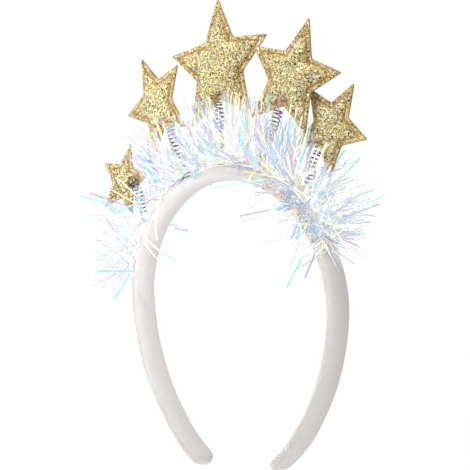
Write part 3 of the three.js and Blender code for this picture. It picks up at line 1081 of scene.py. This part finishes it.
def strip_edges(rng, line, frames, half):
    """A crisp narrow strip along one edge of most strips: points, faces, tints and kinds."""
    edged = np.nonzero(rng.uniform(0, 1, len(line)) < EDGED_SHARE)[0]
    side = (rng.choice((-1.0, 1.0), len(edged)) * half[edged])[:, None, None]
    edge_line = (line[edged] + frames[0][edged] * side)[:, EDGE_FIRST:]
    edge_frames = [f[edged][:, EDGE_FIRST:] for f in frames]
    edge_half = rng.uniform(*EDGE_HALF_WIDTHS, len(edged))
    points, faces = strip_mesh(edge_line, edge_frames, edge_half, EDGE_HALF_THICKNESS)
    glint = rng.uniform(0, 1, len(edged)) < GLINT_SHARE
    dull_tint = pick_tints(rng, EDGE_TINTS, len(edged))
    glint_tint = pick_tints(rng, GLINT_TINTS, len(edged))
    tint = np.repeat(np.where(glint[:, None], glint_tint, dull_tint), edge_line.shape[1] * 4, axis=0)
    kind = np.repeat(np.where(glint, GLINT, EDGE), len(faces) // len(edged))
    return points, faces, tint, kind


def make_strips(rng, axes):
    loose, curled = loose_strips(rng, axes)
    count = len(loose)
    looks = loose_looks(rng, count, curled)
    named, *named_looks = strand_lines()
    line = np.concatenate([loose, named])
    kinds, tint, half = (np.concatenate(pair) for pair in zip(looks, named_looks))
    frames = strip_frames(rng, line, len(named))
    points, faces = strip_mesh(line, frames, half, STRIP_HALF_THICKNESS)
    edges = strip_edges(rng, loose, [f[:count] for f in frames], half[:count])
    edge_points, edge_faces, edge_tint, edge_kind = edges

    materials = []
    for i, (alpha, painted_glow) in enumerate(zip(KIND_ALPHAS, KIND_PAINTED_GLOWS)):
        materials.append(film_material(f"tinsel_film_{i + 1}", STRIP_ROUGHNESS, alpha, painted_glow))
    all_points = np.concatenate([points, edge_points])
    all_faces = np.concatenate([faces, edge_faces + len(points)])
    piece = make_piece("tinsel_strips", all_points, all_faces, materials[0], False)
    for material in materials[1:]:
        piece.data.materials.append(material)
    slots = np.concatenate([face_kinds(kinds), edge_kind])
    piece.data.polygons.foreach_set("material_index", slots.astype(np.int32))
    tint = np.repeat(tint, 4, axis=1).reshape(-1, 3)
    add_colours(piece, "tint", np.concatenate([tint, edge_tint]))
    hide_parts("tinsel")


def flake_tints(rng, place):
    """Pale tints towards the left end of the core, and mostly sparkling ones towards the right."""
    pale = pick_tints(rng, PALE_FLAKE_TINTS, len(place))
    rich = pick_tints(rng, FLAKE_TINTS, len(place))
    share = np.interp(place, *PALE_FLAKES)
    return np.where((rng.uniform(0, 1, len(place)) < share)[:, None], pale, rich)


def draped_lines(rng):
    """Centre lines of flakes that lie along the hoop's outer face and round its front edge."""
    heading = rng.uniform(0, 2 * math.pi, DRAPED_COUNT)[:, None]
    half = rng.uniform(*DRAPED_LENGTHS, DRAPED_COUNT)[:, None] / 2
    t = np.linspace(-1, 1, FLAKE_SAMPLES)[None]
    place = np.radians(rng.uniform(*DRAPED_PLACES, DRAPED_COUNT))[:, None]
    place = place + half * np.cos(heading) * t / CROWN_RADIUS
    turn = rng.uniform(*DRAPED_TURNS, DRAPED_COUNT)[:, None] + half * np.sin(heading) * t / (BAND_WIDTH / 2)
    lift = rng.uniform(*DRAPED_LIFTS, (DRAPED_COUNT, FLAKE_SAMPLES))
    wide, rise = superellipse(turn, BAND_WIDTH / 2 + lift, BAND_THICKNESS / 2 + lift)
    point, _, normal = hoop(CROWN_RADIUS * place.ravel())
    line = point + normal * rise.reshape(-1, 1)
    line[:, 1] -= wide.ravel()
    return line.reshape(DRAPED_COUNT, FLAKE_SAMPLES, 3), np.degrees(place.mean(1))


def make_flakes(rng, axes):
    line, place = strip_lines(rng, FLAKE_SAMPLES, FLAKES)
    draped, draped_place = draped_lines(rng)
    pressed = np.repeat([False, True], [len(line), len(draped)])
    hit = in_band(line[:, 1:], FLAKE_BAND_CLEAR).any(1)
    hit = np.concatenate([hit, in_band(draped, DRAPED_CLEAR).any(1)])
    line = np.concatenate([line, draped])
    place = np.concatenate([place, draped_place])
    for axis in axes:
        hit |= near_axis(line[:, 1:], axis, COIL_RADIUS + WIRE_RADIUS + FLAKE_COIL_CLEAR).any(1)
    line, place, pressed = line[~hit], place[~hit], pressed[~hit]
    points, faces = strip_mesh(line, strip_frames(rng, line), FLAKE_HALF_WIDTH, STRIP_HALF_THICKNESS)
    film = film_material("tinsel_flake", FLAKE_ROUGHNESS, 1.0, FLAKE_PAINTED_GLOW)
    piece = make_piece("tinsel_flakes", points, faces, film, False)
    tint = np.where(pressed[:, None], pick_tints(rng, DRAPED_TINTS, len(place)), flake_tints(rng, place))
    add_colours(piece, "tint", np.repeat(tint, FLAKE_SAMPLES * 4, axis=0))


def make_core(rng):
    places = np.linspace(math.radians(CORE_START), math.radians(CORE_END), THREAD_RINGS)
    points, faces = sweep(core_place(places)[0], THREAD_RADIUS, THREAD_SIDES)
    thread = film_material("tinsel_thread", THREAD_ROUGHNESS, 1.0, FLAKE_PAINTED_GLOW)
    piece = make_piece("tinsel_core", points, faces, thread)
    spots = np.concatenate([np.repeat(np.degrees(places), THREAD_SIDES), [CORE_START, CORE_END]])
    add_colours(piece, "tint", flake_tints(rng, spots))


def make_tinsel(axes):
    rng = np.random.default_rng(SEED)
    make_strips(rng, axes)
    make_flakes(rng, axes)
    make_core(rng)


# Stage in metres, and its lights: name, place, aim, size, power and spread in degrees
FLOOR_Z = -0.42
FLOOR_HALF = 0.75
FLOOR_GLOW = 0.3
FLOOR_GREY = (0.9, 0.9, 0.9, 1)
WORLD_STRENGTH = 0.39
BACKDROP_STRENGTH = 1.0
LIGHTS = [
    ("key", (-0.68, -0.42, 0.30), (0, 0, 0), 0.5, 2.25, 180),
    ("side", (0.62, -0.50, 0.12), (-0.078, 0, -0.07), 0.14, 0.048, 18),
    ("top", (-0.2, 0.1, 0.9), (0, 0, 0), 0.7, 5.0, 180),
    ("low", (-0.45, -0.6, -0.35), (0, 0, -0.05), 0.5, 0.6, 180),
    ("crown", (0.05, -0.8, 0.25), (0, 0, 0.02), 0.2, 0.024, 12),
    ("left", (-0.45, -0.72, 0.12), (-0.094, 0, 0.014), 0.12, 0.010, 7),
]


def make_light(name, place, aim, size, power, spread):
    light = bpy.data.lights.new(name, "AREA")
    light.size = size
    light.energy = power
    light.spread = math.radians(spread)
    lamp = bpy.data.objects.new(name, light)
    lamp.location = place
    lamp.rotation_euler = (Vector(aim) - Vector(place)).to_track_quat("-Z", "Y").to_euler()
    bpy.context.collection.objects.link(lamp)


def make_stage():
    mesh = bpy.data.meshes.new("floor")
    signs = [(-1, -1), (1, -1), (1, 1), (-1, 1)]
    mesh.from_pydata([(x * FLOOR_HALF, y * FLOOR_HALF, FLOOR_Z) for x, y in signs], [], [(0, 1, 2, 3)])
    floor = bpy.data.objects.new("floor", mesh)
    bpy.context.collection.objects.link(floor)
    m = Nodes("floor_white")
    m.set(Base_Color=FLOOR_GREY, Roughness=0.9, Emission_Color=WHITE, Emission_Strength=FLOOR_GLOW)
    mesh.materials.append(m.material)

    world = bpy.data.worlds.new("studio")
    bpy.context.scene.world = world
    world.use_nodes = True
    nodes = world.node_tree.nodes
    soft = nodes["Background"]
    shown = nodes.new("ShaderNodeBackground")
    for node, strength in ((soft, WORLD_STRENGTH), (shown, BACKDROP_STRENGTH)):
        node.inputs["Color"].default_value = WHITE
        node.inputs["Strength"].default_value = strength
    path = nodes.new("ShaderNodeLightPath")
    blend = nodes.new("ShaderNodeMixShader")
    link = world.node_tree.links.new
    link(path.outputs["Is Camera Ray"], blend.inputs[0])
    link(soft.outputs[0], blend.inputs[1])
    link(shown.outputs[0], blend.inputs[2])
    link(blend.outputs[0], nodes["World Output"].inputs["Surface"])

    for row in LIGHTS:
        make_light(*row)


def make_camera():
    data = bpy.data.cameras.new("camera")
    data.lens = CAMERA_LENS
    data.sensor_width = SENSOR_WIDTH
    camera = bpy.data.objects.new("camera", data)
    camera.location = CAMERA_AIM + CAMERA_BACK * CAMERA_DISTANCE
    camera.rotation_euler = (-CAMERA_BACK).to_track_quat("-Z", "Y").to_euler()
    bpy.context.collection.objects.link(camera)
    bpy.context.scene.camera = camera


make_camera()
bpy.context.scene.view_settings.view_transform = "Standard"
bpy.context.scene.cycles.transparent_max_bounces = FILM_LAYERS
make_stage()
make_band()
outline = unit_outline()
grid = unit_puff()
glitter = star_material()
steel = spring_material()
spring_axes = [spring_axis(row) for row in STARS]
for number, star_row in enumerate(STARS):
    make_star(number, star_row, outline, grid, glitter)
    make_spring(number, spring_axes[number], steel)
make_tinsel(spring_axes)
